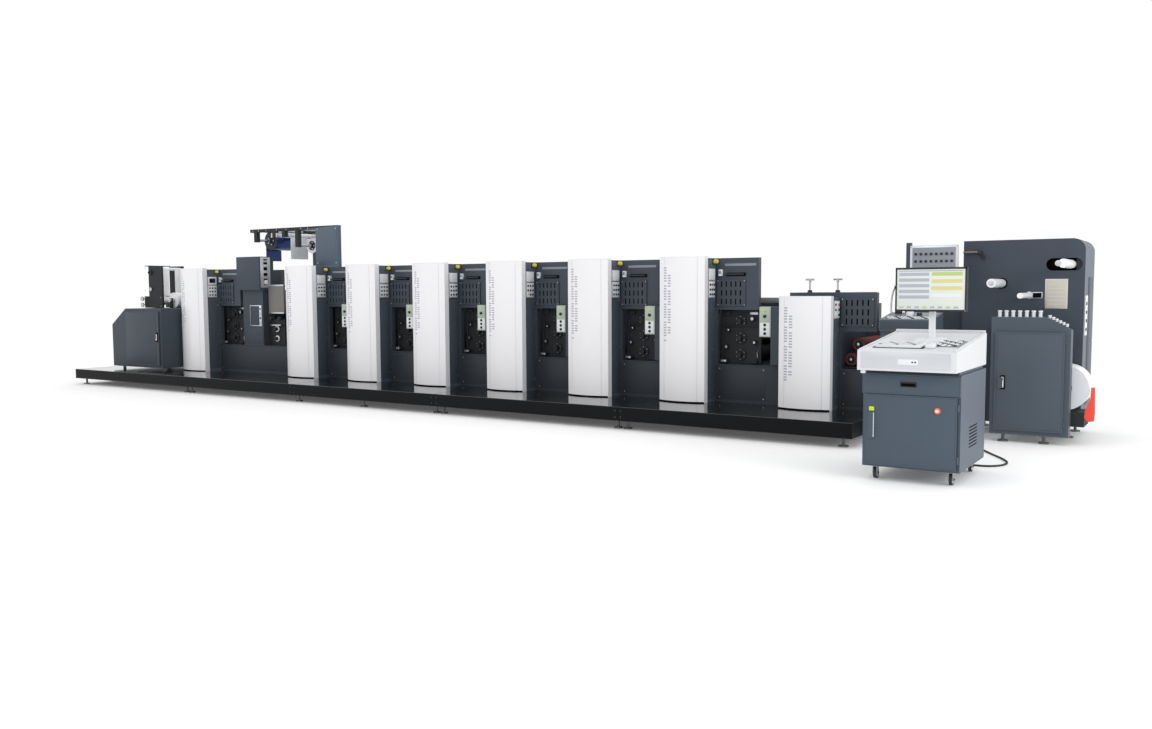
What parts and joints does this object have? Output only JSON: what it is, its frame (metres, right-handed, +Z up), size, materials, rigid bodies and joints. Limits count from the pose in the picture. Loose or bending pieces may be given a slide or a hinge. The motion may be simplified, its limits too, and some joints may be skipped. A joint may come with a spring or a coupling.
{
  "type": "label offset printing press line",
  "caption": "Multi-unit rotary label offset press line with white-fronted printing units on a common base, unwinder, rewinder and operator console.",
  "frame": {"origin": "middle of the whole line on the floor it stands on", "axes": "+X along the line to the unwinder end, -Y to the operator side where the covers and console face, +Z up"},
  "size_m": [13.79, 3.75, 2.285],
  "materials": {
    "base_black": "gloss",
    "charcoal": "satin textured",
    "bed_charcoal": "satin",
    "cover_white": "satin",
    "dark_iron": "oiled",
    "cylinder_chrome": "polished",
    "bright_steel": "turned",
    "ink_rubber": "matt",
    "red_rubber": "matt",
    "black_plastic": "matt",
    "panel_pale": "matt",
    "stop_yellow": "gloss",
    "box_pale": "satin",
    "screen_beige": "satin",
    "tower_blue_grey": "satin",
    "foil_dark": "metallic foil",
    "web_white": "coated",
    "foil_blue": "metallised",
    "roller_white": "gloss",
    "unwinder_grey": "satin textured",
    "knob_silver": "turned",
    "lever_red": "gloss",
    "console_grey": "satin",
    "console_white": "satin",
    "monitor_white": "satin",
    "caster_zinc": "zinc plated",
    "caster_tread": "matt",
    "cable_black": "matt"
  },
  "bodies": {
    "press": {"base_platform": "base_black", "levelling_feet": "bright_steel", "bed_housing": "bed_charcoal", "drive_housing": "charcoal", "unit_columns": "charcoal", "unit_covers": "cover_white", "operator_frames": "charcoal", "drive_frames": "charcoal", "bearing_plates": "dark_iron", "press_cylinders": "cylinder_chrome", "ink_housings": "dark_iron", "ink_rollers": "ink_rubber", "slotted_guards": "charcoal", "guard_handles": "black_plastic", "side_panels": "panel_pale", "stop_buttons": "stop_yellow", "control_boxes": "box_pale", "box_brackets": "black_plastic", "infeed_housing": "charcoal", "infeed_spindles": "bright_steel", "infeed_rollers": "red_rubber", "station_column": "tower_blue_grey", "station_head": "charcoal", "station_screen": "screen_beige", "foil_tower": "tower_blue_grey", "web_rollers": "roller_white", "rewinder_cabinet": "charcoal", "rewinder_frame": "dark_iron", "rewinder_handwheels": "bright_steel", "label_web": "web_white", "foil_web": "foil_blue", "unwinder_housing": "charcoal", "unwinder_cabinet": "unwinder_grey", "unwinder_knobs": "knob_silver", "reel_bracket": "black_plastic", "reel_lever": "lever_red", "console_body": "console_grey", "console_worktop": "console_white", "monitor_stand": "console_white", "ink_desk": "charcoal", "key_panel": "panel_pale", "link_housing": "bed_charcoal", "console_cable": "cable_black"},
    "paper_reel": {"paper_reel": "web_white"},
    "foil_supply_reel": {"foil_supply_reel": "foil_dark"},
    "foil_takeup_reel": {"foil_takeup_reel": "foil_dark"},
    "rewinder_door": {"rewinder_door": "charcoal"},
    "unwinder_door": {"unwinder_door": "unwinder_grey"},
    "console_door": {"console_door": "console_grey"},
    "console_drawer": {"console_drawer": "console_grey"},
    "monitor": {"monitor": "monitor_white"},
    "caster_fork_front_left": {"caster_fork_front_left": "caster_zinc"},
    "caster_wheel_front_left": {"caster_wheel_front_left": "caster_tread"},
    "caster_fork_front_right": {"caster_fork_front_right": "caster_zinc"},
    "caster_wheel_front_right": {"caster_wheel_front_right": "caster_tread"},
    "caster_fork_rear_left": {"caster_fork_rear_left": "caster_zinc"},
    "caster_wheel_rear_left": {"caster_wheel_rear_left": "caster_tread"},
    "caster_fork_rear_right": {"caster_fork_rear_right": "caster_zinc"},
    "caster_wheel_rear_right": {"caster_wheel_rear_right": "caster_tread"}
  },
  "joints": [
    {"name": "paper_reel_spin", "type": "hinge", "parent": "press", "child": "paper_reel", "pos_m": [6.645, 0.83, 0.507], "axis": [0, 1, 0], "continuous": true},
    {"name": "foil_supply_spin", "type": "hinge", "parent": "press", "child": "foil_supply_reel", "pos_m": [-3.885, 0.825, 2.132], "axis": [0, 1, 0], "continuous": true},
    {"name": "foil_takeup_spin", "type": "hinge", "parent": "press", "child": "foil_takeup_reel", "pos_m": [-3.025, 0.825, 2.04], "axis": [0, 1, 0], "continuous": true},
    {"name": "rewinder_door_hinge", "type": "hinge", "parent": "press", "child": "rewinder_door", "pos_m": [-6.165, -0.069, 0.7], "axis": [0, 0, -1], "range_deg": [0, 100]},
    {"name": "unwinder_door_hinge", "type": "hinge", "parent": "press", "child": "unwinder_door", "pos_m": [6.665, 0.671, 0.6], "axis": [0, 0, 1], "range_deg": [0, 100]},
    {"name": "console_door_hinge", "type": "hinge", "parent": "press", "child": "console_door", "pos_m": [6.3, -1.759, 0.4], "axis": [0, 0, 1], "range_deg": [0, 100]},
    {"name": "console_drawer_slide", "type": "slide", "parent": "press", "child": "console_drawer", "axis": [0, -1, 0], "range_m": [0, 0.4]},
    {"name": "monitor_tilt", "type": "hinge", "parent": "press", "child": "monitor", "pos_m": [6.012, -1.3525, 1.34], "axis": [-1, 0, 0], "range_deg": [-3, 20]},
    {"name": "caster_swivel_front_left", "type": "hinge", "parent": "press", "child": "caster_fork_front_left", "pos_m": [5.7, -1.67, 0.1], "axis": [0, 0, 1], "continuous": true},
    {"name": "caster_roll_front_left", "type": "hinge", "parent": "caster_fork_front_left", "child": "caster_wheel_front_left", "pos_m": [5.7, -1.648, 0.042], "axis": [1, 0, 0], "continuous": true},
    {"name": "caster_swivel_front_right", "type": "hinge", "parent": "press", "child": "caster_fork_front_right", "pos_m": [6.24, -1.67, 0.1], "axis": [0, 0, 1], "continuous": true},
    {"name": "caster_roll_front_right", "type": "hinge", "parent": "caster_fork_front_right", "child": "caster_wheel_front_right", "pos_m": [6.24, -1.648, 0.042], "axis": [1, 0, 0], "continuous": true},
    {"name": "caster_swivel_rear_left", "type": "hinge", "parent": "press", "child": "caster_fork_rear_left", "pos_m": [5.7, -1.04, 0.1], "axis": [0, 0, 1], "continuous": true},
    {"name": "caster_roll_rear_left", "type": "hinge", "parent": "caster_fork_rear_left", "child": "caster_wheel_rear_left", "pos_m": [5.7, -1.018, 0.042], "axis": [1, 0, 0], "continuous": true},
    {"name": "caster_swivel_rear_right", "type": "hinge", "parent": "press", "child": "caster_fork_rear_right", "pos_m": [6.24, -1.04, 0.1], "axis": [0, 0, 1], "continuous": true},
    {"name": "caster_roll_rear_right", "type": "hinge", "parent": "caster_fork_rear_right", "child": "caster_wheel_rear_right", "pos_m": [6.24, -1.018, 0.042], "axis": [1, 0, 0], "continuous": true}
  ]
}
